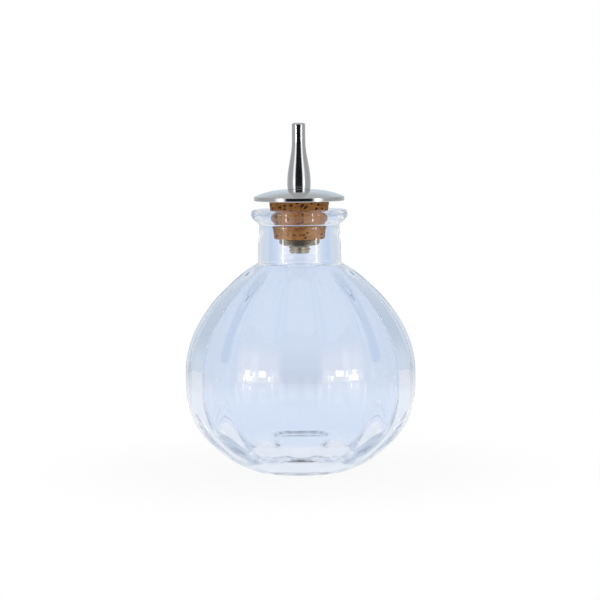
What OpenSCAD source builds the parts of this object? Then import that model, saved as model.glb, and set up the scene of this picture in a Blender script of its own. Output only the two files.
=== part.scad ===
// Bitters bottle: a ribbed glass globe with a cork stopper that carries a turned metal pouring spout.
// Millimetres, +Z up. The origin is the centre of the ring that the bottle stands on.

/* [Globe] */
// Diameter of the globe over its ribs
globe_d = 72; // [62:1:84]
// Height of the widest part above the table
globe_mid_h = 30.3; // [26:0.1:35]
// Height of the shoulder, where the neck starts
shoulder_h = 64.3; // [57:0.1:73]
// Outer diameter of the foot
foot_d = 30; // [26:1:38]
// Width of the flat ring that touches the table
foot_ring_w = 3; // [2:0.5:5]
// Height of the dished hollow under the base
punt_h = 2; // [1:0.25:3]
// Height of the inner floor above the table
floor_h = 5; // [4:0.25:8]
// Glass thickness at the widest part, between ribs
globe_wall = 2.4; // [1.6:0.1:3.2]

/* [Ribs] */
// Number of lobes round the globe
rib_n = 16; // [8:1:20]
// Depth of the valleys between lobes
rib_depth = 0.7; // [0.2:0.1:1.2]
// Height above the table over which the lobes rise to their full depth
rib_rise_h = 9; // [5:0.5:14]
// Height below the shoulder over which they fade out
rib_fade_h = 4; // [2:0.5:12]

/* [Neck and lip] */
// Glass thickness round the bore at the foot of the neck
neck_wall = 3.2; // [2.2:0.1:4]
// Height of the neck from the shoulder to the underside of the lip
neck_h = 12.8; // [8:0.1:18]
// How much the neck draws in, in radius, up to the lip, along a parabola
neck_draw = 0.6; // [0:0.1:1]
// Radius of the fillet between the neck and the shoulder
neck_fillet = 0.8; // [0.4:0.1:1.2]
// Width of the narrow ledge outside that fillet
shoulder_ledge = 0.3; // [0.2:0.1:0.8]
// Height of the lip from its underside to its crest
lip_h = 4.4; // [3.8:0.1:6]
// How far the lip stands out from the neck below it
lip_reach = 2.7; // [1.5:0.05:3.5]
// Width over which the lip's outer edge turns level at its crest
rim_round_w = 0.85; // [0.4:0.05:1.5]
// Rounding of the mouth's edge
mouth_round = 0.7; // [0.3:0.1:1.2]
// Height of the tapered band inside the lip that grips the cork
seat_h = 2.6; // [1:0.1:2.8]
// How much wider, in radius, the bore is below that band
bore_relief = 1.1; // [0.6:0.1:1.6]

/* [Cork] */
// Diameter of the cork at its top
cork_top_d = 18.8; // [16:0.1:22]
// Diameter of the cork at its bottom
cork_bottom_d = 15.8; // [14:0.1:18]
// Height of the cork
cork_h = 12; // [10:0.5:16]
// Height of the cork that stands above the lip
cork_proud = 2.7; // [1.5:0.1:4]
// Rounding of the cork's edges
cork_edge = 0.4; // [0.2:0.1:0.8]

/* [Pourer] */
// Diameter of the disc
disc_d = 28.2; // [24:0.2:32]
// Thickness of the disc at its rim
disc_rim_t = 1.3; // [0.8:0.1:2]
// Height of the disc from its underside to the seat of the spout
disc_h = 3.5; // [2.5:0.1:5]
// Height of the spout above the disc
spout_h = 20.7; // [16:0.1:28]
// Diameter of the spout where it meets the disc
spout_base_d = 7.1; // [6.6:0.1:9]
// Diameter of the spout's bulge
spout_bulge_d = 7.32; // [7:0.02:10]
// Height of the bulge above the disc
spout_bulge_h = 2; // [1.5:0.1:4]
// Height above the disc where the spout has become thin
spout_thin_h = 15.3; // [11:0.1:18]
// Diameter of the thin end of the spout
spout_tip_d = 4.2; // [3.4:0.1:5]
// Rounding of the spout's tip
spout_tip_round = 0.8; // [0.4:0.1:1]
// Diameter of the outlet in the tip
outlet_d = 1.2; // [0.8:0.1:1.6]

/* [Stem and nut] */
// Outer diameter of the stem's thread
stem_d = 7; // [6.6:0.1:8]
// Diameter of the channel through the stem and the spout
channel_d = 3; // [2:0.1:3.2]
// Diameter of the stem's upper end, which screws up into the spout
spigot_d = 5; // [4.4:0.1:5.4]
// Length of that upper end inside the spout
spigot_h = 4.5; // [3:0.5:6]
// Length of the stem that stands out below the nut
stem_tail = 2.5; // [1.5:0.5:5]
// Width of the hex nut across its flats
nut_af = 11; // [10:0.5:13]
// Thickness of the hex nut
nut_t = 2; // [1.6:0.1:4]

/* [Fits] */
// Radial clearance of the cork in the glass
cork_gap = 0.05; // [0.02:0.01:0.1]
// Radial clearance of the stem in the cork, the disc, the nut and the spout
stem_gap = 0.05; // [0.02:0.01:0.1]

/* [Hidden] */
$fn = 96;

// The stack of heights, from the underside of the lip upwards and downwards
lip_z = shoulder_h + neck_h;
crest_z = lip_z + lip_h;
cork_top_z = crest_z + cork_proud;
cork_bottom_z = cork_top_z - cork_h;
spout_z = cork_top_z + disc_h;
stem_bottom_z = cork_bottom_z - nut_t - stem_tail;

// The glass takes its bore from the cork, whose taper it follows between seat_bottom_z and seat_top_z
cork_slope = (cork_top_d - cork_bottom_d) / 2 / cork_h;
seat_top_z = crest_z - mouth_round;
seat_bottom_z = seat_top_z - seat_h;
function throat_r(z) = cork_top_d / 2 - cork_slope * (cork_top_z - z) + cork_gap;
bore_r = throat_r(seat_bottom_z) + bore_relief;
neck_r = bore_r + neck_wall;
neck_top_r = neck_r - neck_draw;
lip_r = neck_top_r + lip_reach;
mouth_r = throat_r(seat_top_z);
shoulder_r = neck_r + neck_fillet + shoulder_ledge;

// How the globe curves towards the shoulder and towards the foot: 2 and 1 would be a parabola
shoulder_curve = [2.05, 1.08];
heel_curve = [2.9, 1.14];
// Steps of the outline below and above the widest part, and columns in one lobe
heel_steps = 12;
shoulder_steps = 14;
lobe_columns = 8;
// Share of the lip's height at which it reaches out furthest
lip_tip_share = 0.6;
// How far a cut reaches past the face that it opens
cut_past = 1;

// One quadratic curve from p to q, pulled towards the corner c
function bend(p, c, q, steps = 8) =
    [for (i = [0 : steps]) let (t = i / steps) (1 - t) ^ 2 * p + 2 * t * (1 - t) * c + t ^ 2 * q];

// A list without its first point, to join it to a list that ends there
function tail(points) = [for (i = [1 : len(points) - 1]) points[i]];

// Radius of half a globe, where u runs from 0 at the widest part to 1 at the end
function half_globe_r(u, mid_r, end_r, curve) =
    end_r + (mid_r - end_r) * (1 - u ^ curve[0]) ^ (1 / curve[1]);

// Outline of a globe from its low end to its high end, as points [r, z] that crowd towards both ends
function globe_outline(mid_r, low_r, low_z, high_r, high_z) = [
    for (i = [0 : heel_steps]) let (u = cos(90 * i / heel_steps))
        [half_globe_r(u, mid_r, low_r, heel_curve), globe_mid_h - u * (globe_mid_h - low_z)],
    for (i = [1 : shoulder_steps]) let (u = sin(90 * i / shoulder_steps))
        [half_globe_r(u, mid_r, high_r, shoulder_curve), globe_mid_h + u * (high_z - globe_mid_h)]
];

// Share of the full rib depth at height z: none at the foot and at the shoulder
function smooth(t) = let (s = min(max(t, 0), 1)) s * s * (3 - 2 * s);
function rib_share(z) = smooth(z / rib_rise_h) * smooth((shoulder_h - z) / rib_fade_h);
// Depth of the valleys at angle a from the middle of a lobe: lobes are broad and valleys narrow
function rib_cut(a) = rib_depth * (0.5 - 0.5 * cos(a * rib_n)) ^ 1.5;

// Ribbed globe: rings of points round the outline, closed by flat ends
module globe_blank() {
    rings = globe_outline(globe_d / 2, foot_d / 2, 0, shoulder_r, shoulder_h);
    columns = rib_n * lobe_columns;
    points = [
        for (p = rings, j = [0 : columns - 1])
            let (a = 360 * j / columns, r = p[0] - rib_cut(a) * rib_share(p[1]))
                [r * sin(a), -r * cos(a), p[1]]
    ];
    last = len(rings) - 1;
    sides = [
        for (i = [0 : last - 1], j = [0 : columns - 1])
            let (k = (j + 1) % columns, low = i * columns, high = low + columns)
                each [[low + j, high + k, low + k], [low + j, high + j, high + k]]
    ];
    foot_face = [for (j = [0 : columns - 1]) j];
    shoulder_face = [for (j = [columns - 1 : -1 : 0]) last * columns + j];
    polyhedron(points, concat(sides, [foot_face, shoulder_face]));
}

// Neck and lip, turned. The fillet turns outwards through seen_turn degrees down to the shoulder, and on
// to full_turn degrees just under it, so that the two solids cross cleanly.
module neck_blank() {
    seen_turn = 60;
    full_turn = 70;
    fillet_steps = 7;
    fillet_z = shoulder_h + neck_fillet * sin(seen_turn);
    fillet = [
        for (i = [fillet_steps : -1 : 0]) let (a = full_turn * i / fillet_steps)
            [neck_r + neck_fillet * (1 - cos(a)), fillet_z - neck_fillet * sin(a)]
    ];
    side = bend([neck_r, fillet_z], [neck_r, (fillet_z + lip_z) / 2], [neck_top_r, lip_z]);
    lip_tip = [lip_r, lip_z + lip_h * lip_tip_share];
    underside = bend([neck_top_r, lip_z], [lip_r - lip_reach / 5, lip_z + lip_h / 4], lip_tip);
    edge = bend(lip_tip, [lip_r, crest_z], [lip_r - rim_round_w, crest_z]);
    rotate_extrude()
        polygon(concat(
            [[0, shoulder_h - neck_fillet], [fillet[0][0], shoulder_h - neck_fillet]],
            fillet, tail(side), tail(underside), tail(edge), [[0, crest_z]]
        ));
}

// Everything hollow: the globe, the neck's bore, the band that grips the cork and the rounded mouth
module cavity() {
    inner = globe_outline(globe_d / 2 - rib_depth - globe_wall, foot_d / 2 - foot_ring_w, floor_h,
                          bore_r, shoulder_h);
    mouth_edge = [mouth_r + mouth_round, crest_z];
    mouth = bend([mouth_r, seat_top_z], [mouth_r, crest_z], mouth_edge);
    rotate_extrude()
        polygon(concat(
            [[0, floor_h]], inner,
            [[bore_r, seat_bottom_z - bore_relief], [throat_r(seat_bottom_z), seat_bottom_z]],
            mouth, [[mouth_edge[0], crest_z + cut_past], [0, crest_z + cut_past]]
        ));
}

// Dished hollow under the base, which leaves the ring that the bottle stands on
module punt() {
    punt_r = foot_d / 2 - foot_ring_w;
    steps = 8;
    rotate_extrude()
        polygon(concat(
            [[0, -cut_past], [punt_r, -cut_past]],
            [for (i = [0 : steps]) let (r = punt_r * (1 - i / steps)) [r, punt_h * (1 - (r / punt_r) ^ 2)]]
        ));
}

module bottle() {
    color([0.85, 0.9, 0.98, 0.4])
        difference() {
            union() {
                globe_blank();
                neck_blank();
            }
            cavity();
            punt();
        }
}

// Tapered cork with broken edges, bored for the stem
module cork() {
    function side_r(z) = cork_top_d / 2 - cork_slope * (cork_h - z);
    color("peru")
        translate([0, 0, cork_bottom_z])
            difference() {
                rotate_extrude()
                    polygon([
                        [0, 0], [side_r(0) - cork_edge, 0], [side_r(cork_edge), cork_edge],
                        [side_r(cork_h - cork_edge), cork_h - cork_edge], [side_r(cork_h) - cork_edge, cork_h],
                        [0, cork_h]
                    ]);
                translate([0, 0, -cut_past])
                    cylinder(r = stem_d / 2 + stem_gap, h = cork_h + 2 * cut_past);
            }
}

// Hollow stem: a full-width threaded length, and a spigot that passes through the disc into the spout
module stem() {
    shank_h = cork_top_z - stem_bottom_z;
    end_chamfer = 0.6;
    color("silver")
        translate([0, 0, stem_bottom_z])
            rotate_extrude()
                polygon([
                    [channel_d / 2, 0], [stem_d / 2 - end_chamfer, 0], [stem_d / 2, end_chamfer],
                    [stem_d / 2, shank_h], [spigot_d / 2, shank_h],
                    [spigot_d / 2, shank_h + disc_h + spigot_h], [channel_d / 2, shank_h + disc_h + spigot_h]
                ]);
}

// Thin hex nut with its corners chamfered on both faces
module hex_nut() {
    corner_r = nut_af / sqrt(3);
    chamfer_inset = 0.1;
    chamfer_slope = 30;
    chamfer_r = nut_af / 2 - chamfer_inset;
    chamfer_h = (corner_r - chamfer_r) * tan(chamfer_slope);
    color("silver")
        translate([0, 0, cork_bottom_z - nut_t])
            difference() {
                intersection() {
                    cylinder(r = corner_r, h = nut_t, $fn = 6);
                    rotate_extrude()
                        polygon([
                            [0, 0], [chamfer_r, 0], [corner_r, chamfer_h],
                            [corner_r, nut_t - chamfer_h], [chamfer_r, nut_t], [0, nut_t]
                        ]);
                }
                translate([0, 0, -cut_past])
                    cylinder(r = stem_d / 2 + stem_gap, h = nut_t + 2 * cut_past);
            }
}

// Domed disc with a thin rim, a flat seat for the spout and a hole for the spigot
module disc() {
    rim_edge = 0.3;
    seat_r = spout_base_d / 2 + rim_edge;
    dome_r = disc_d / 2 - rim_edge;
    steps = 12;
    dome = [
        for (i = [0 : steps]) let (t = 1 - i / steps)
            [seat_r + (dome_r - seat_r) * t, disc_h - (disc_h - disc_rim_t) * t ^ 2]
    ];
    color("silver")
        translate([0, 0, cork_top_z])
            rotate_extrude()
                polygon(concat(
                    [[spigot_d / 2 + stem_gap, 0], [dome_r, 0], [disc_d / 2, rim_edge],
                     [disc_d / 2, disc_rim_t - rim_edge]],
                    dome, [[spigot_d / 2 + stem_gap, disc_h]]
                ));
}

// Turned spout: it swells to a low bulge, draws in along a cosine curve and ends in a thin rounded tip
module spout() {
    base_r = spout_base_d / 2;
    bulge_r = spout_bulge_d / 2;
    tip_r = spout_tip_d / 2;
    rise_steps = 4;
    draw_steps = 16;
    tip_steps = 5;
    draw_h = spout_thin_h - spout_bulge_h;
    rise = [
        for (i = [0 : rise_steps]) let (t = i / rise_steps)
            [base_r + (bulge_r - base_r) * sin(90 * t), spout_bulge_h * t]
    ];
    draw = [
        for (i = [1 : draw_steps]) let (t = i / draw_steps)
            [tip_r + (bulge_r - tip_r) * (0.5 + 0.5 * cos(180 * t)), spout_bulge_h + draw_h * t]
    ];
    tip = [
        for (i = [0 : tip_steps]) let (a = 90 * i / tip_steps)
            [tip_r - spout_tip_round * (1 - cos(a)), spout_h - spout_tip_round * (1 - sin(a))]
    ];
    socket_r = spigot_d / 2 + stem_gap;
    socket_h = spigot_h + stem_gap;
    outlet_h = 2 * spout_tip_round;
    outlet_cone_h = (channel_d - outlet_d) * 2;
    color("silver")
        translate([0, 0, spout_z])
            rotate_extrude()
                polygon(concat(
                    [[socket_r, 0]], rise, draw, tip,
                    [[outlet_d / 2, spout_h], [outlet_d / 2, spout_h - outlet_h],
                     [channel_d / 2, spout_h - outlet_h - outlet_cone_h],
                     [channel_d / 2, socket_h], [socket_r, socket_h]]
                ));
}

bottle();
cork();
stem();
hex_nut();
disc();
spout();
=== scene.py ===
"""Bitters bottle: a ribbed glass globe, closed by a cork stopper with a turned steel pouring spout.

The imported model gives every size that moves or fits. This script dresses each piece round it, in metres,
in the same frame: +Z up, with the origin at the centre of the ring that the bottle stands on.
"""

import math

import bpy
import numpy as np
from mathutils import Matrix, Vector


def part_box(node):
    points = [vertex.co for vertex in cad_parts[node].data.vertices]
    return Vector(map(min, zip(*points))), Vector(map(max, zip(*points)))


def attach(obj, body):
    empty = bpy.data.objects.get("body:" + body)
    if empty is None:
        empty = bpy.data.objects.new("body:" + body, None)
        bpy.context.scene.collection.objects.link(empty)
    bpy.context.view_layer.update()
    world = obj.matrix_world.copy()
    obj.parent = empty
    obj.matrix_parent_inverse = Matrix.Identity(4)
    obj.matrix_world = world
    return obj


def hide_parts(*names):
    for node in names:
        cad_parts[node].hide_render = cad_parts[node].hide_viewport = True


bl_info = {
    "name": "Bitters bottle",
    "version": (1, 0, 0),
    "blender": (4, 5, 0),
    "location": "View3D > Sidebar > Bottle",
    "description": "Builds a ribbed glass bitters bottle with a cork stopper and a steel pouring spout",
    "category": "Add Mesh",
}

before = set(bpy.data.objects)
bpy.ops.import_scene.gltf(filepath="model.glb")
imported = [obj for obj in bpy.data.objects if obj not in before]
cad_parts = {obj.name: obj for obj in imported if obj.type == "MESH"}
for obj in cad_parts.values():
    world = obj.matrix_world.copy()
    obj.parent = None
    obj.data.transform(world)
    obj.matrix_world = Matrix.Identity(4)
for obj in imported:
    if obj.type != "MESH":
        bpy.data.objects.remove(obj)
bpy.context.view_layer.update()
BOXES = {node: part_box(node) for node in ("bottle", "cork", "stem", "hex_nut", "disc", "spout")}
MM = 0.001
TURN = 2 * math.pi

# Angle in degrees from the camera's side, brightness there and its share of blue, round the room as reflections
# see it and as rays that have come through glass do
MIRRORED_WALLS = (
    (0, 0.012, 1.0),
    (34, 0.015, 1.0),
    (41, 1.2, 1.0),
    (56, 1.2, 1.0),
    (66, 0.42, 1.0),
    (110, 0.4, 1.0),
    (140, 0.47, 1.1),
    (180, 0.66, 1.25),
)
CLEAR_WALLS = (
    (0, 0.3, 1.0),
    (14, 0.3, 1.0),
    (30, 3.2, 0.45),
    (60, 3.2, 0.45),
    (85, 0.6, 1.2),
    (140, 0.6, 1.2),
    (158, 0.68, 1.12),
    (170, 0.86, 1.02),
    (180, 0.97, 1.0),
)
CLEAR_SKIRTING = (
    (0, 0.2, 1.0),
    (14, 0.2, 1.0),
    (30, 3.2, 0.45),
    (60, 3.2, 0.45),
    (80, 0.74, 1.15),
    (158, 0.74, 1.12),
    (170, 0.87, 1.05),
    (180, 0.93, 1.0),
)


def low(node):
    """Height of a piece's underside."""
    return BOXES[node][0].z


def high(node):
    """Height of a piece's top."""
    return BOXES[node][1].z


def radius(node):
    """Half the width of a piece across X."""
    return (BOXES[node][1].x - BOXES[node][0].x) / 2


def linear(code):
    """Turns a hex sRGB colour into linear red, green, blue and alpha."""
    parts = [int(code[i : i + 2], 16) / 255 for i in (1, 3, 5)]
    return tuple(c / 12.92 if c <= 0.04045 else ((c + 0.055) / 1.055) ** 2.4 for c in parts) + (1.0,)


def length(name, description, default):
    """A property that holds a length in metres."""
    return bpy.props.FloatProperty(
        name=name, description=description, default=default, min=0, unit="LENGTH", precision=5
    )


def colour(name, description, code):
    """A property that holds a colour, given as hex sRGB."""
    return bpy.props.FloatVectorProperty(
        name=name, description=description, default=linear(code), subtype="COLOR", size=4, min=0, max=1
    )


class GlassSizes(bpy.types.PropertyGroup):
    """Sizes and colour of the glass."""

    globe_radius: length("Globe radius", "Radius over the ribs", radius("bottle"))
    mid_height: length("Widest height", "Height of the widest part of the globe", 30.3 * MM)
    shoulder_height: length("Shoulder height", "Height where the neck starts", 64.3 * MM)
    foot_radius: length("Foot radius", "Outer radius of the foot", 15.0 * MM)
    foot_ring: length("Foot ring", "Width of the flat ring under the foot", 3.0 * MM)
    punt_height: length("Punt height", "Height of the dished hollow under the base", 2.0 * MM)
    floor_height: length("Floor height", "Height of the inner floor", 5.0 * MM)
    wall: length("Wall", "Glass thickness at the widest part, between ribs", 2.4 * MM)
    rib_depth: length("Rib depth", "Depth of the valleys between lobes", 0.7 * MM)
    rib_rise: length("Rib rise", "Height over which the lobes grow above the foot", 9.0 * MM)
    rib_fade: length("Rib fade", "Height over which the lobes fade below the shoulder", 4.0 * MM)
    neck_radius: length("Neck radius", "Outer radius at the foot of the neck", 13.0 * MM)
    neck_draw: length("Neck draw", "How much the neck draws in up to the lip", 0.6 * MM)
    shoulder_ledge: length("Shoulder ledge", "From the neck out to the globe's edge", 1.1 * MM)
    bore_radius: length("Bore radius", "Radius of the neck's bore", 9.8 * MM)
    bore_relief: length("Bore relief", "How much the bore is wider than the throat", 1.1 * MM)
    lip_height: length("Lip height", "From the underside of the lip to its crest", 4.4 * MM)
    lip_radius: length("Lip radius", "Outer radius of the lip", 15.1 * MM)
    rim_round: length("Rim rounding", "Width over which the lip's outer edge turns level", 0.85 * MM)
    mouth_round: length("Mouth rounding", "Rounding of the mouth's edge", 0.7 * MM)
    mouth_radius: length("Mouth radius", "Radius of the mouth just under that rounding", 9.03 * MM)
    seat_height: length("Seat height", "Height of the tapered band that grips the cork", 2.6 * MM)
    polish: length("Fire polish", "Length over which edges are melted round", 0.5 * MM)
    lobes: bpy.props.IntProperty(name="Lobes", description="Number of lobes", default=16, min=3)
    inner_ribs: bpy.props.FloatProperty(
        name="Inner ribs", description="Share of the rib depth on the inner wall", default=0.0, subtype="FACTOR"
    )
    tint: colour("Tint", "Colour that each face of the glass gives to light", "#EDF4FF")
    body_colour: colour("Body colour", "Colour that thick glass tends to", "#7FAACB")
    absorption: bpy.props.FloatProperty(
        name="Absorption", description="How much the glass takes out of light, per metre", default=1.5, min=0
    )


class StopperSizes(bpy.types.PropertyGroup):
    """Sizes and colours of the cork and the metal."""

    cork_edge: length("Cork edge", "Rounding of the cork's edges", 0.4 * MM)
    cork_top: length("Cork top", "Radius of the cork at its top", 9.4 * MM)
    cork_bottom: length("Cork bottom", "Radius of the cork at its bottom", 7.9 * MM)
    pore_depth: length("Pore depth", "Depth of the deepest pores", 0.35 * MM)
    disc_rim: length("Disc rim", "Thickness of the disc at its rim", 1.3 * MM)
    spout_base: length("Spout base", "Radius of the spout where it meets the disc", 3.55 * MM)
    bulge_height: length("Bulge height", "Height of the spout's widest part above the disc", 2.0 * MM)
    thin_height: length("Thin height", "Height above the disc where the spout has become thin", 15.3 * MM)
    tip_radius: length("Tip radius", "Radius of the spout's thin end", 2.1 * MM)
    tip_round: length("Tip rounding", "Rounding of the spout's tip", 0.8 * MM)
    outlet_radius: length("Outlet radius", "Radius of the hole in the tip", 0.6 * MM)
    channel_radius: length("Channel radius", "Radius of the channel through stem and spout", 1.5 * MM)
    spigot_radius: length("Spigot radius", "Radius of the stem's upper end", 2.5 * MM)
    spigot_length: length("Spigot length", "Length of the stem inside the spout", 4.5 * MM)
    thread_pitch: length("Thread pitch", "Rise of the stem's thread in one turn", 1.0 * MM)
    edge: length("Metal edge", "Rounding of the metal's edges", 0.15 * MM)
    gap: length("Fit gap", "Radial clearance between the stem and what is on it", 0.05 * MM)
    cork_colour: colour("Cork", "Colour of the cork", "#CC8B48")
    cork_dark: colour("Cork grain", "Colour of the cork's darker grain", "#A06630")
    pore_colour: colour("Pores", "Colour inside the cork's pores", "#2A160B")
    steel_colour: colour("Steel", "Colour of the polished steel", "#C8C6C2")
    stem_colour: colour("Stem", "Colour of the stem", "#C4BFB2")
    # The nut's colour is the steel painted darker and warmer: painted shade for the dark surroundings that it
    # reflects under the glass
    nut_painted_shade_colour: colour("Nut", "Colour of the nut", "#8A806C")


class StudioSizes(bpy.types.PropertyGroup):
    """Camera and lights."""

    aim_height: length("Aim height", "Height that the camera looks at", 53.16 * MM)
    distance: length("Distance", "From the camera to that point", 718.75 * MM)
    lens: bpy.props.FloatProperty(name="Lens", description="Focal length in millimetres", default=138.0)
    pitch: bpy.props.FloatProperty(
        name="Pitch", description="How far the camera looks down", default=math.radians(4.8), unit="ROTATION"
    )
    roll: bpy.props.FloatProperty(
        name="Roll", description="How far the camera leans", default=math.radians(-0.5), unit="ROTATION"
    )
    strip_azimuth: bpy.props.FloatProperty(
        name="Strip azimuth", description="Angle of the strip lamps from the camera",
        default=math.radians(47), unit="ROTATION"
    )
    strip_power: bpy.props.FloatProperty(
        name="Strip power", description="Power of each strip lamp", default=0.1, unit="POWER"
    )
    strip_distance: length("Strip distance", "From the bottle's axis to each strip lamp", 600 * MM)
    strip_width: length("Strip width", "Width of each strip lamp", 45 * MM)
    strip_height: length("Strip height", "Height of each strip lamp", 64 * MM)
    strip_level: length("Strip level", "Height of each strip lamp's middle above the table", 78 * MM)


def bend(start, corner, end, steps=16):
    """Points of one quadratic curve: it leaves start towards corner and arrives at end from corner."""
    t = np.linspace(0, 1, steps)[:, None]
    return (1 - t) ** 2 * np.array(start) + 2 * t * (1 - t) * np.array(corner) + t**2 * np.array(end)


def smooth_step(t):
    """Rises from 0 to 1 with level ends: 3 t squared less 2 t cubed, for t held between 0 and 1."""
    t = np.clip(t, 0, 1)
    return t * t * (3 - 2 * t)


def arc_length(path):
    """Distance along a path to each of its points."""
    return np.concatenate([[0], np.cumsum(np.linalg.norm(np.diff(path[:, :2], axis=0), axis=1))])


def even(path, step):
    """The path again, with points at equal distances of about one step."""
    s = arc_length(path)
    at = np.linspace(0, s[-1], max(2, int(s[-1] / step)))
    return np.stack([np.interp(at, s, column) for column in path.T], axis=1)


def melt(path, reach, step):
    """An evenly spaced path averaged with bell-shaped weights over reach, which rounds its corners.

    Past each end the path goes on as its own point reflection, so the two ends stay where they are.
    """
    n = int(4 * reach / step)
    weights = np.exp(-0.5 * (np.arange(-n, n + 1) * step / reach) ** 2)
    before = 2 * path[0] - path[n:0:-1]
    after = 2 * path[-1] - path[-2 : -n - 2 : -1]
    longer = np.vstack([before, path, after])
    return np.stack([np.convolve(c, weights / weights.sum(), "valid") for c in longer.T], axis=1)


def crowd(path, rows, pull):
    """Picks rows points of a fine path, spaced by length plus pull times the angle it turns through."""
    s = arc_length(path)
    along = np.diff(path[:, :2], axis=0)
    heading = np.unwrap(np.arctan2(along[:, 1], along[:, 0]))
    turning = np.abs(np.diff(heading, prepend=heading[0]))
    weight = s + pull * np.concatenate([[0], np.cumsum(turning)])
    at = np.linspace(0, weight[-1], rows)
    return np.stack([np.interp(at, weight, column) for column in path.T], axis=1)


def rounded(corners, steps=6):
    """A closed outline of [radius, height] corners, each with its own rounding, made into a fine path.

    Each corner becomes a quadratic curve between two points at the rounding's distance from it, with one more
    point a third of that distance further out on both sides, so that smooth shading stays inside the edge.
    """
    path = []
    count = len(corners)
    for i, (x, z, rounding) in enumerate(corners):
        here = np.array([x, z])
        before = np.array(corners[i - 1][:2]) - here
        after = np.array(corners[(i + 1) % count][:2]) - here
        near = [d / np.linalg.norm(d) * min(rounding, 0.4 * np.linalg.norm(d)) for d in (before, after)]
        path.append(here + near[0] * 4 / 3)
        path.extend(bend(here + near[0], here, here + near[1], steps))
        path.append(here + near[1] * 4 / 3)
    return np.array(path)


def lathe(path, columns):
    """Grid of points: each point [r, z] of the path, turned through columns angles round Z.

    x is r sin a and y is -r cos a, so that angle 0 faces -Y.
    """
    a = np.linspace(0, TURN, columns, endpoint=False)
    r, z = path[:, 0][:, None], path[:, 1][:, None]
    return np.stack([r * np.sin(a), -r * np.cos(a), z + 0 * a], axis=2)


def skin(name, grid, closed):
    """Makes a mesh object from a grid of points, rows by columns, whose columns go round the axis.

    closed joins the last row to the first, as on a piece with a bore. Otherwise the first and the last row
    each shrink to a pole. Faces point outwards when the rows run outwards below and upwards outside.
    """
    rows, columns, _ = grid.shape
    index = np.arange(rows * columns).reshape(rows, columns)
    if closed:
        index = np.vstack([index, index[:1]])
    beside = np.roll(index, -1, axis=1)
    quads = np.stack([index[:-1], beside[:-1], beside[1:], index[1:]], axis=2).reshape(-1, 4)
    points = grid.reshape(-1, 3)
    faces = quads.tolist()
    if not closed:
        poles = np.array([grid[0].mean(axis=0), grid[-1].mean(axis=0)])
        first, last = len(points), len(points) + 1
        points = np.vstack([points, poles])
        faces += [[first, b, a] for a, b in zip(index[0], beside[0])]
        faces += [[last, a, b] for a, b in zip(index[-1], beside[-1])]
    mesh = bpy.data.meshes.new(name)
    mesh.from_pydata(points, [], faces)
    mesh.shade_smooth()
    mesh.validate()
    piece = bpy.data.objects.new(name, mesh)
    bpy.context.scene.collection.objects.link(piece)
    return piece


def place(piece, body, node, material):
    """Gives a piece its material and its body, and hides the imported node that it stands for."""
    piece.data.materials.append(material)
    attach(piece, body)
    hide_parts(node)


def new_material(name):
    """A material whose node tree holds only its output, and that tree."""
    material = bpy.data.materials.new(name)
    material.use_nodes = True
    tree = material.node_tree
    tree.nodes.clear()
    return material, tree


def add(tree, kind, values=None, links=None, **settings):
    """Adds a node, with its settings, its input values by name or number and its links from other sockets."""
    node = tree.nodes.new(kind)
    for key, value in settings.items():
        setattr(node, key, value)
    for key, value in (values or {}).items():
        node.inputs[key].default_value = value
    for key, source in (links or {}).items():
        tree.links.new(source, node.inputs[key])
    return node


def clear_glass(tint, body_colour, absorption):
    """Soda-lime glass, blown in a ribbed mould and fire-polished: clear, hard and mirror smooth.

    A very weak, wide ripple in its surface is what is left of the blowing. Thick glass is a little bluer.
    """
    material, tree = new_material("clear_glass")
    where = add(tree, "ShaderNodeTexCoord")
    ripple = add(
        tree, "ShaderNodeTexNoise", {"Scale": 1 / (9 * MM), "Detail": 1.0}, {"Vector": where.outputs["Object"]}
    )
    bump = add(
        tree, "ShaderNodeBump", {"Strength": 0.12, "Distance": 0.15 * MM}, {"Height": ripple.outputs[0]}
    )
    shader = add(
        tree,
        "ShaderNodeBsdfPrincipled",
        {"Base Color": tint, "Roughness": 0.0, "IOR": 1.52, "Transmission Weight": 1.0},
        {"Normal": bump.outputs[0]},
    )
    body = add(tree, "ShaderNodeVolumeAbsorption", {"Color": body_colour, "Density": absorption})
    add(tree, "ShaderNodeOutputMaterial", links={"Surface": shader.outputs[0], "Volume": body.outputs[0]})
    return material


def metal(name, tint, smooth, rough):
    """A turned and buffed metal: a mirror with the faintest turning lines left in it."""
    material, tree = new_material(name)
    where = add(tree, "ShaderNodeTexCoord")
    lines = add(
        tree,
        "ShaderNodeMapping",
        {"Scale": (1 / (6 * MM), 1 / (6 * MM), 1 / (0.25 * MM))},
        {"Vector": where.outputs["Object"]},
    )
    turning = add(tree, "ShaderNodeTexNoise", {"Scale": 1.0, "Detail": 2.0}, {"Vector": lines.outputs[0]})
    smear = add(
        tree,
        "ShaderNodeMapRange",
        {"To Min": smooth, "To Max": rough},
        {"Value": turning.outputs[0]},
    )
    bump = add(
        tree, "ShaderNodeBump", {"Strength": 0.1, "Distance": 0.01 * MM}, {"Height": turning.outputs[0]}
    )
    shader = add(
        tree,
        "ShaderNodeBsdfPrincipled",
        {"Base Color": tint, "Metallic": 1.0},
        {"Roughness": smear.outputs[0], "Normal": bump.outputs[0]},
    )
    add(tree, "ShaderNodeOutputMaterial", links={"Surface": shader.outputs[0]})
    return material


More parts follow.
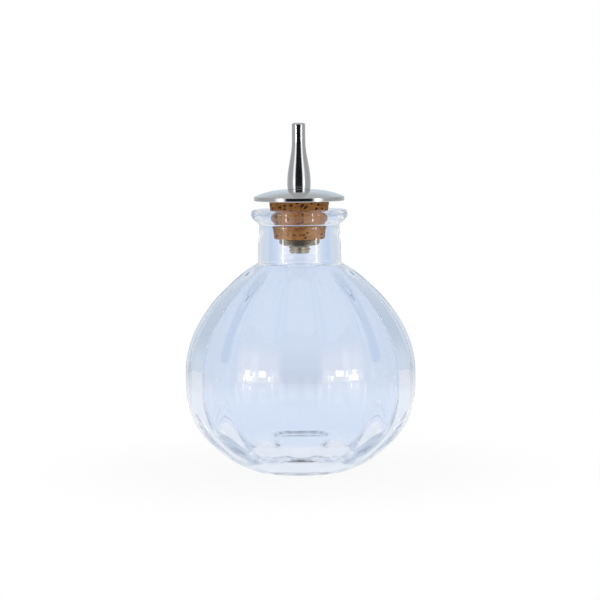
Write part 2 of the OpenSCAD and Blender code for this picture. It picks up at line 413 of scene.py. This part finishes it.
def natural_cork(body, grain, pore):
    """Cork oak bark, cut and sanded: matt, warm brown, mottled, with dark pores that run through it."""
    material, tree = new_material("natural_cork")
    where = add(tree, "ShaderNodeTexCoord")
    mottle = add(
        tree,
        "ShaderNodeTexNoise",
        {"Scale": 1 / (2.2 * MM), "Detail": 5.0, "Roughness": 0.65},
        {"Vector": where.outputs["Object"]},
    )
    cells = add(
        tree,
        "ShaderNodeTexNoise",
        {"Scale": 1 / (0.35 * MM), "Detail": 2.0},
        {"Vector": where.outputs["Object"]},
    )
    patches = add(
        tree,
        "ShaderNodeMapRange",
        {"From Min": 0.38, "From Max": 0.66},
        {"Value": mottle.outputs[0]},
    )
    base = add(
        tree, "ShaderNodeMix", {6: body, 7: grain}, {0: patches.outputs[0]}, data_type="RGBA"
    )
    depth = add(tree, "ShaderNodeAttribute", attribute_name="pore")
    painted = add(
        tree,
        "ShaderNodeMix",
        {7: pore},
        {0: depth.outputs["Fac"], 6: base.outputs[2]},
        data_type="RGBA",
    )
    bump = add(
        tree, "ShaderNodeBump", {"Strength": 0.5, "Distance": 0.08 * MM}, {"Height": cells.outputs[0]}
    )
    shader = add(
        tree,
        "ShaderNodeBsdfPrincipled",
        {"Roughness": 0.82, "IOR": 1.45},
        {"Base Color": painted.outputs[2], "Normal": bump.outputs[0]},
    )
    add(tree, "ShaderNodeOutputMaterial", links={"Surface": shader.outputs[0]})
    return material


def globe_outline(mid, foot, shoulder, mid_z):
    """Half outline of a globe, from [foot r, foot z] over radius mid at mid_z to [shoulder r, shoulder z].

    On both halves u runs from 0 at the widest part to 1 at the end, and the radius is the end's radius plus
    the rest times (1 - u to the power a) to the power 1 / b, which is a parabola at a = 2 and b = 1.
    """
    t = np.linspace(0, 1, 120)
    heel, top = (2.9, 1.14), (2.05, 1.08)
    u = np.cos(TURN / 4 * t)
    lower = [foot[0] + (mid - foot[0]) * (1 - u ** heel[0]) ** (1 / heel[1]), mid_z - u * (mid_z - foot[1])]
    u = np.sin(TURN / 4 * t)
    upper = [
        shoulder[0] + (mid - shoulder[0]) * (1 - u ** top[0]) ** (1 / top[1]),
        mid_z + u * (shoulder[1] - mid_z),
    ]
    return np.hstack([lower, np.array(upper)[:, 1:]]).T


class BOTTLE_OT_blow_glass(bpy.types.Operator):
    """Makes the glass bottle: globe, neck, lip, bore and dished base in one closed surface."""

    bl_idname = "bottle.blow_glass"
    bl_label = "Glass bottle"

    def execute(self, context):
        g = context.scene.glass_sizes
        crest = high("bottle")
        lip_z = crest - g.lip_height
        neck_top = g.neck_radius - g.neck_draw
        ring_r = g.foot_radius - g.foot_ring
        seat_top = crest - g.mouth_round
        seat_bottom = seat_top - g.seat_height
        tip = (g.lip_radius, lip_z + 0.6 * g.lip_height)
        rim_r = g.lip_radius - g.rim_round
        reach = g.lip_radius - neck_top
        spin = np.linspace(0, ring_r, 30)
        outside = [
            np.stack([spin, g.punt_height * (1 - (spin / ring_r) ** 2)], axis=1),
            globe_outline(
                g.globe_radius,
                (g.foot_radius, 0),
                (g.neck_radius + g.shoulder_ledge, g.shoulder_height),
                g.mid_height,
            ),
            bend(
                (g.neck_radius, g.shoulder_height + 0.4 * MM),
                (g.neck_radius, (g.shoulder_height + lip_z) / 2),
                (neck_top, lip_z),
            ),
            bend(
                (neck_top, lip_z),
                (g.lip_radius - reach / 5, lip_z + g.lip_height / 4),
                tip,
            ),
            bend(tip, (g.lip_radius, crest), (rim_r, crest)),
        ]
        inside = [
            bend((g.mouth_radius + g.mouth_round, crest), (g.mouth_radius, crest), (g.mouth_radius, seat_top)),
            [
                [g.bore_radius - g.bore_relief, seat_bottom],
                [g.bore_radius, seat_bottom - g.bore_relief],
            ],
            globe_outline(
                g.globe_radius - g.rib_depth - g.wall,
                (ring_r, g.floor_height),
                (g.bore_radius, g.shoulder_height),
                g.mid_height,
            )[::-1],
            [[0, g.floor_height]],
        ]
        outside, inside = np.vstack(outside), np.vstack(inside)
        shares = np.concatenate([np.ones(len(outside)), np.full(len(inside), g.inner_ribs)])
        path = np.column_stack([np.vstack([outside, inside]), shares])
        fine = 0.08 * MM
        path = crowd(melt(even(path, fine), g.polish, fine), 330, 6 * MM)
        path = path[1:-1]
        grid = lathe(path, 288)
        a = np.linspace(0, TURN, 288, endpoint=False)
        valleys = 0.5 - 0.5 * np.cos(g.lobes * a)
        fade = smooth_step(path[:, 1] / g.rib_rise) * smooth_step(
            (g.shoulder_height - path[:, 1]) / g.rib_fade
        )
        shrink = 1 - (g.rib_depth * fade * path[:, 2] / path[:, 0])[:, None] * valleys
        grid[:, :, :2] *= shrink[:, :, None]
        piece = skin("glass_bottle", grid, closed=False)
        place(piece, "glass", "bottle", clear_glass(g.tint, g.body_colour, g.absorption))
        return {"FINISHED"}


class BOTTLE_OT_cut_cork(bpy.types.Operator):
    """Makes the tapered cork, with its pores sunk into the surface."""

    bl_idname = "bottle.cut_cork"
    bl_label = "Cork"

    def execute(self, context):
        s = context.scene.stopper_sizes
        z0, z1 = low("cork"), high("cork")
        bore = radius("stem") + s.gap
        outline = rounded(
            [
                (bore, z0, 0.2 * MM),
                (s.cork_bottom, z0, s.cork_edge),
                (s.cork_top, z1, s.cork_edge),
                (bore, z1, 0.2 * MM),
            ]
        )
        outline = even(np.vstack([outline, outline[:1]]), 0.16 * MM)[:-1]
        grid = lathe(outline, 300)
        random = np.random.default_rng(7)
        front = np.array(
            [[-29.5, 1.3], [-15.5, 1.1], [-7, 3.0], [6.5, 1.0], [13.5, 1.6], [36, 2.2], [40, 1.0], [-41, 1.8]]
        )
        count = 150
        turns = np.concatenate([np.radians(front[:, 0]), random.uniform(0, TURN, count)])
        heights = np.concatenate([z1 - front[:, 1] * MM, random.uniform(z0, z1, count)])
        sizes = np.concatenate([np.full(len(front), 0.55 * MM), random.uniform(0.12, 0.5, count) * MM])
        reach = s.cork_bottom + (s.cork_top - s.cork_bottom) * (heights - z0) / (z1 - z0)
        centres = np.stack([reach * np.sin(turns), -reach * np.cos(turns), heights], axis=1)
        points = grid.reshape(-1, 3)
        pore = np.zeros(len(points))
        for centre, size in zip(centres, sizes):
            away = (points - centre) / np.array([size, size, 0.7 * size])
            pore = np.maximum(pore, np.exp(-1.5 * (away**2).sum(axis=1)))
        wobble = np.sin(points[:, 2] / (0.9 * MM) + 3 * np.arctan2(points[:, 0], points[:, 1]))
        shrink = 1 - (s.pore_depth * pore + 0.02 * MM * (1 + wobble)) / np.linalg.norm(points[:, :2], axis=1)
        grid[:, :, :2] *= shrink.reshape(grid.shape[:2])[:, :, None]
        piece = skin("tapered_cork", grid, closed=True)
        layer = piece.data.attributes.new("pore", "FLOAT", "POINT")
        layer.data.foreach_set("value", smooth_step(1.6 * pore).astype(np.float32))
        place(piece, "stopper", "cork", natural_cork(s.cork_colour, s.cork_dark, s.pore_colour))
        return {"FINISHED"}


def polished_steel(context):
    """Stainless steel 304, buffed bright, made once for the disc and the spout."""
    found = bpy.data.materials.get("polished_steel")
    return found or metal("polished_steel", context.scene.stopper_sizes.steel_colour, 0.04, 0.11)


def threaded_steel(context):
    """Stainless steel 304 as the thread die leaves it, for the stem."""
    return metal("threaded_steel", context.scene.stopper_sizes.stem_colour, 0.05, 0.1)


def shaded_nut_steel(context):
    """Steel for the nut, duller than the polished steel; its darker, warmer colour is painted shade for the dark
    surroundings that the nut reflects under the glass.
    """
    return metal("shaded_nut_steel", context.scene.stopper_sizes.nut_painted_shade_colour, 0.12, 0.2)


class BOTTLE_OT_turn_disc(bpy.types.Operator):
    """Makes the domed disc: flat below, a parabola above, with a thin rounded rim."""

    bl_idname = "bottle.turn_disc"
    bl_label = "Disc"

    def execute(self, context):
        s = context.scene.stopper_sizes
        z0, z1, rim = low("disc"), high("disc"), radius("disc")
        hole = s.spigot_radius + s.gap
        seat = s.spout_base + 0.3 * MM
        t = np.linspace(1, 0, 40)
        dome = np.stack([seat + (rim - seat) * t, z1 - (z1 - z0 - s.disc_rim) * t**2], axis=1)
        path = np.vstack([[[hole, z0], [rim, z0]], dome, [[hole, z1], [hole, z0]]])
        fine = 0.02 * MM
        path = crowd(melt(even(path, fine), s.edge, fine), 150, 4 * MM)
        piece = skin("domed_disc", lathe(path[:-1], 160), closed=True)
        place(piece, "stopper", "disc", polished_steel(context))
        return {"FINISHED"}


class BOTTLE_OT_turn_spout(bpy.types.Operator):
    """Makes the pouring spout: a low bulge that draws in along a cosine to a thin tip, with its channel."""

    bl_idname = "bottle.turn_spout"
    bl_label = "Spout"

    def execute(self, context):
        s = context.scene.stopper_sizes
        z0, z1, bulge = low("spout"), high("spout"), radius("spout")
        t = np.linspace(0, 1, 40)
        rise = [s.spout_base + (bulge - s.spout_base) * np.sin(TURN / 4 * t), z0 + s.bulge_height * t]
        draw = [
            s.tip_radius + (bulge - s.tip_radius) * (0.5 + 0.5 * np.cos(TURN / 2 * t)),
            z0 + s.bulge_height + (s.thin_height - s.bulge_height) * t,
        ]
        tip = bend(
            (s.tip_radius, z1 - s.tip_round), (s.tip_radius, z1), (s.tip_radius - s.tip_round, z1)
        )
        socket = s.spigot_radius + s.gap
        socket_top = z0 + s.spigot_length + s.gap
        outlet_low = z1 - 2 * s.tip_round
        channel_top = outlet_low - 4 * (s.channel_radius - s.outlet_radius)
        inside = [
            [s.outlet_radius, z1],
            [s.outlet_radius, outlet_low],
            [s.channel_radius, channel_top],
            [s.channel_radius, socket_top],
            [socket, socket_top],
            [socket, z0],
        ]
        path = np.vstack([[[socket, z0]], np.array(rise).T, np.array(draw).T, tip, inside])
        fine = 0.02 * MM
        path = crowd(melt(even(path, fine), 0.08 * MM, fine), 260, 2 * MM)
        piece = skin("pouring_spout", lathe(path[:-1], 128), closed=True)
        place(piece, "stopper", "spout", polished_steel(context))
        return {"FINISHED"}


class BOTTLE_OT_thread_stem(bpy.types.Operator):
    """Makes the hollow stem: its thread is a ridge whose height depends on z less the turn's share of a pitch."""

    bl_idname = "bottle.thread_stem"
    bl_label = "Stem"

    def execute(self, context):
        s = context.scene.stopper_sizes
        z0, z1, shank = low("stem"), high("stem"), radius("stem")
        shoulder = high("cork")
        chamfer = 0.6 * MM
        path = np.array(
            [
                [s.channel_radius, z0],
                [shank - chamfer, z0],
                [shank, z0 + chamfer],
                [shank, shoulder],
                [s.spigot_radius, shoulder],
                [s.spigot_radius, z1],
                [s.channel_radius, z1],
                [s.channel_radius, z0],
            ]
        )
        path = even(path, 0.09 * MM)[:-1]
        grid = lathe(path, 96)
        a = np.linspace(0, TURN, 96, endpoint=False)
        phase = (path[:, 1] - z0)[:, None] / s.thread_pitch - a / TURN
        valley = 0.5 - 0.5 * np.cos(TURN * phase)
        outside = (path[:, 0] > shank - 1.2 * chamfer) & (path[:, 1] > z0) & (path[:, 1] < shoulder)
        depth = 0.54 * s.thread_pitch * outside[:, None] * valley**0.8
        cone = np.maximum(shank - path[:, 0], 0)[:, None]
        cut = np.maximum(depth - cone, 0) / path[:, 0][:, None]
        grid[:, :, :2] *= (1 - cut)[:, :, None]
        piece = skin("threaded_stem", grid, closed=True)
        place(piece, "stopper", "stem", threaded_steel(context))
        return {"FINISHED"}


class BOTTLE_OT_cut_nut(bpy.types.Operator):
    """Makes the hex nut: at angle a its side lies at half the width across flats, over the cosine of a.

    Both faces are cut back by a cone from a circle just inside the flats, which chamfers the corners.
    """

    bl_idname = "bottle.cut_nut"
    bl_label = "Hex nut"

    def execute(self, context):
        s = context.scene.stopper_sizes
        z0, z1 = low("hex_nut"), high("hex_nut")
        flat = (BOXES["hex_nut"][1].y - BOXES["hex_nut"][0].y) / 2
        columns = 240
        a = np.linspace(0, TURN, columns, endpoint=False)
        inside_flat = (a + TURN / 12) % (TURN / 6) - TURN / 12
        side = flat / np.cos(inside_flat)
        face = flat - 0.15 * MM
        bore = radius("stem") + s.gap
        drop = (side - face) * math.tan(math.radians(30))
        ones = np.ones(columns)
        rings = [
            (bore * ones, (z0 + z1) / 2 * ones),
            (bore * ones, (z0 + 0.3 * MM) * ones),
            ((bore + 0.3 * MM) * ones, z0 * ones),
            (face * ones, z0 * ones),
            (side, z0 + drop),
            (side, z1 - drop),
            (face * ones, z1 * ones),
            ((bore + 0.3 * MM) * ones, z1 * ones),
            (bore * ones, (z1 - 0.3 * MM) * ones),
        ]
        r, z = (np.array(part) for part in zip(*rings))
        grid = np.stack([r * np.sin(a), -r * np.cos(a), z], axis=2)
        piece = skin("hex_nut_steel", grid, closed=True)
        piece.data.shade_flat()
        bevel = piece.modifiers.new("edges", "BEVEL")
        bevel.width = 0.06 * MM
        bevel.segments = 2
        bevel.angle_limit = math.radians(20)
        place(piece, "stopper", "hex_nut", shaded_nut_steel(context))
        return {"FINISHED"}


class BOTTLE_OT_set_stage(bpy.types.Operator):
    """Sets the white floor, the pale world with its darker front, the two strip lamps and the camera.

    Light that is caught in the thick heel bounces often before it leaves, so the paths may be long.
    """

    bl_idname = "bottle.set_stage"
    bl_label = "Stage"

    def execute(self, context):
        v = context.scene.studio_sizes
        self.add_floor()
        self.add_world(context.scene)
        for side in (-1, 1):
            self.add_strip(v, side)
        self.add_camera(context.scene, v)
        context.scene.view_settings.view_transform = "Standard"
        context.scene.cycles.max_bounces = 256
        context.scene.cycles.glossy_bounces = 256
        context.scene.cycles.transmission_bounces = 256
        return {"FINISHED"}

    def add_floor(self):
        """A round white table top that keeps a little of the object's shadow near its middle.

        Camera, glass and reflections each see it glow by their own share, which changes from the middle out.
        """
        around = np.linspace(0, TURN, 96, endpoint=False)
        rim = np.stack([0.45 * np.sin(around), -0.45 * np.cos(around), 0 * around - 0.05 * MM], axis=1)
        mesh = bpy.data.meshes.new("table")
        mesh.from_pydata(rim, [], [list(range(len(rim)))])
        table = bpy.data.objects.new("table", mesh)
        bpy.context.scene.collection.objects.link(table)
        material, tree = new_material("white_table")
        where = add(tree, "ShaderNodeTexCoord")
        out = add(tree, "ShaderNodeVectorMath", links={0: where.outputs["Object"]}, operation="LENGTH")
        path = add(tree, "ShaderNodeLightPath")
        share = None
        for kind, reach, levels in (
            ("Is Camera Ray", (0.02, 0.1), (0.93, 1.0)),
            ("Is Transmission Ray", (0.01, 0.1), (0.3, 0.8)),
            ("Is Glossy Ray", (0.1, 0.42), (0.9, 0.0)),
        ):
            level = add(
                tree,
                "ShaderNodeMapRange",
                {"From Min": reach[0], "From Max": reach[1], "To Min": levels[0], "To Max": levels[1]},
                {"Value": out.outputs["Value"]},
                interpolation_type="SMOOTHSTEP",
            )
            seen = add(
                tree, "ShaderNodeMath", links={0: path.outputs[kind], 1: level.outputs[0]}, operation="MULTIPLY"
            )
            share = seen if share is None else add(
                tree, "ShaderNodeMath", links={0: share.outputs[0], 1: seen.outputs[0]}, operation="MAXIMUM"
            )
        paper = add(tree, "ShaderNodeBsdfDiffuse", {"Color": linear("#F4F4F4")})
        glow = add(tree, "ShaderNodeEmission", {"Color": (1, 1, 1, 1), "Strength": 1.0})
        mixed = add(
            tree, "ShaderNodeMixShader", links={0: share.outputs[0], 1: paper.outputs[0], 2: glow.outputs[0]}
        )
        add(tree, "ShaderNodeOutputMaterial", links={"Surface": mixed.outputs[0]})
        table.data.materials.append(material)

    def add_world(self, scene):
        """White behind for the camera, two views of the room for other rays, and a level fill on matt surfaces.

        Reflections see a dark front where the photographer stands, the glow round the two strip lamps on
        either side of that, grey flats further round and the white wall behind. Rays that have come through
        glass see a paler room, so that its edges stay light.
        """
        world = bpy.data.worlds.new("studio")
        world.use_nodes = True
        world.cycles.sampling_method = "NONE"
        scene.world = world
        tree = world.node_tree
        tree.nodes.clear()
        where = add(tree, "ShaderNodeTexCoord")
        split = add(tree, "ShaderNodeSeparateXYZ", links={0: where.outputs["Generated"]})
        toward = add(tree, "ShaderNodeMath", {1: -1.0}, {0: split.outputs["Y"]}, operation="MULTIPLY")
        turn = add(
            tree, "ShaderNodeMath", links={0: split.outputs["X"], 1: toward.outputs[0]}, operation="ARCTAN2"
        )
        aside = add(tree, "ShaderNodeMath", links={0: turn.outputs[0]}, operation="ABSOLUTE")
        share = add(tree, "ShaderNodeMath", {1: 1 / math.pi}, {0: aside.outputs[0]}, operation="MULTIPLY")
        height = split.outputs["Z"]
        mirrored = self.add_walls(tree, share, MIRRORED_WALLS)
        mirrored = self.above(tree, height, (0.35, 0.65), mirrored.outputs[0], (0.5, 0.5, 0.5, 1))
        skirting = self.add_walls(tree, share, CLEAR_SKIRTING)
        through = self.add_walls(tree, share, CLEAR_WALLS)
        through = self.above(tree, height, (-0.02, 0.2), skirting.outputs[0], through.outputs[0])
        through = self.above(tree, height, (0.3, 0.6), through.outputs[2], (0.72, 0.76, 0.82, 1))
        path = add(tree, "ShaderNodeLightPath")
        seen = add(
            tree,
            "ShaderNodeMix",
            {6: (0.5, 0.5, 0.5, 1)},
            {0: path.outputs["Is Glossy Ray"], 7: mirrored.outputs[2]},
            data_type="RGBA",
        )
        for kind, picture in (("Is Transmission Ray", through.outputs[2]), ("Is Camera Ray", None)):
            seen = add(
                tree,
                "ShaderNodeMix",
                {7: (1, 1, 1, 1)},
                {0: path.outputs[kind], 6: seen.outputs[2], **({7: picture} if picture else {})},
                data_type="RGBA",
            )
        back = add(tree, "ShaderNodeBackground", {"Strength": 1.0}, {"Color": seen.outputs[2]})
        add(tree, "ShaderNodeOutputWorld", links={"Surface": back.outputs[0]})

    def add_walls(self, tree, share, stops):
        """Walls whose brightness and colour follow the stops round the room."""
        walls = add(tree, "ShaderNodeValToRGB", links={0: share.outputs[0]})
        ramp = walls.color_ramp.elements
        for angle, level, blue in stops:
            stop = ramp[0] if angle == 0 else ramp[-1] if angle == 180 else ramp.new(angle / 180)
            stop.color = (level, level * (1 + blue) / 2, level * blue, 1)
        return walls

    def above(self, tree, height, reach, lower, upper):
        """Turns one colour into another over a reach of heights. The upper one is a colour or a socket."""
        rise = add(
            tree,
            "ShaderNodeMapRange",
            {"From Min": reach[0], "From Max": reach[1]},
            {"Value": height},
            interpolation_type="SMOOTHSTEP",
        )
        fixed = isinstance(upper, tuple)
        return add(
            tree,
            "ShaderNodeMix",
            {7: upper} if fixed else None,
            {0: rise.outputs[0], 6: lower, **({} if fixed else {7: upper})},
            data_type="RGBA",
        )

    def add_strip(self, v, side):
        """A tall soft strip lamp beside the camera."""
        lamp = bpy.data.lights.new("strip", "AREA")
        lamp.shape = "RECTANGLE"
        lamp.size = v.strip_width
        lamp.size_y = v.strip_height
        lamp.energy = v.strip_power
        piece = bpy.data.objects.new("strip", lamp)
        bpy.context.scene.collection.objects.link(piece)
        turn = side * v.strip_azimuth
        place_at = Vector(
            (v.strip_distance * math.sin(turn), -v.strip_distance * math.cos(turn), v.strip_level)
        )
        aim = Vector((-place_at.x, -place_at.y, 0))
        piece.matrix_world = Matrix.Translation(place_at) @ aim.to_track_quat("-Z", "Y").to_matrix().to_4x4()
        piece.visible_camera = False

    def add_camera(self, scene, v):
        """A long lens in front of the bottle, a little above it."""
        data = bpy.data.cameras.new("camera")
        data.lens = v.lens
        data.sensor_width = 36.0
        data.clip_start, data.clip_end = 0.01, 50.0
        camera = bpy.data.objects.new("camera", data)
        scene.collection.objects.link(camera)
        back = Vector((0, -math.cos(v.pitch), math.sin(v.pitch)))
        turn = (-back).to_track_quat("-Z", "Y").to_matrix().to_4x4() @ Matrix.Rotation(v.roll, 4, "Z")
        camera.matrix_world = Matrix.Translation(Vector((0, 0, v.aim_height)) + back * v.distance) @ turn
        scene.camera = camera


OPERATORS = (
    BOTTLE_OT_blow_glass,
    BOTTLE_OT_cut_cork,
    BOTTLE_OT_turn_disc,
    BOTTLE_OT_turn_spout,
    BOTTLE_OT_thread_stem,
    BOTTLE_OT_cut_nut,
    BOTTLE_OT_set_stage,
)


class BOTTLE_PT_pieces(bpy.types.Panel):
    """Lists the pieces of the bottle."""

    bl_label = "Bitters bottle"
    bl_space_type = "VIEW_3D"
    bl_region_type = "UI"
    bl_category = "Bottle"

    def draw(self, context):
        for operator in OPERATORS:
            self.layout.operator(operator.bl_idname)


CLASSES = (GlassSizes, StopperSizes, StudioSizes, *OPERATORS, BOTTLE_PT_pieces)


def register():
    for item in CLASSES:
        bpy.utils.register_class(item)
    bpy.types.Scene.glass_sizes = bpy.props.PointerProperty(type=GlassSizes)
    bpy.types.Scene.stopper_sizes = bpy.props.PointerProperty(type=StopperSizes)
    bpy.types.Scene.studio_sizes = bpy.props.PointerProperty(type=StudioSizes)


def unregister():
    del bpy.types.Scene.glass_sizes
    del bpy.types.Scene.stopper_sizes
    del bpy.types.Scene.studio_sizes
    for item in reversed(CLASSES):
        bpy.utils.unregister_class(item)


def main():
    """Registers the add-on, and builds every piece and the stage."""
    register()
    for operator in OPERATORS:
        group, name = operator.bl_idname.split(".")
        getattr(getattr(bpy.ops, group), name)()


if __name__ == "__main__":
    main()
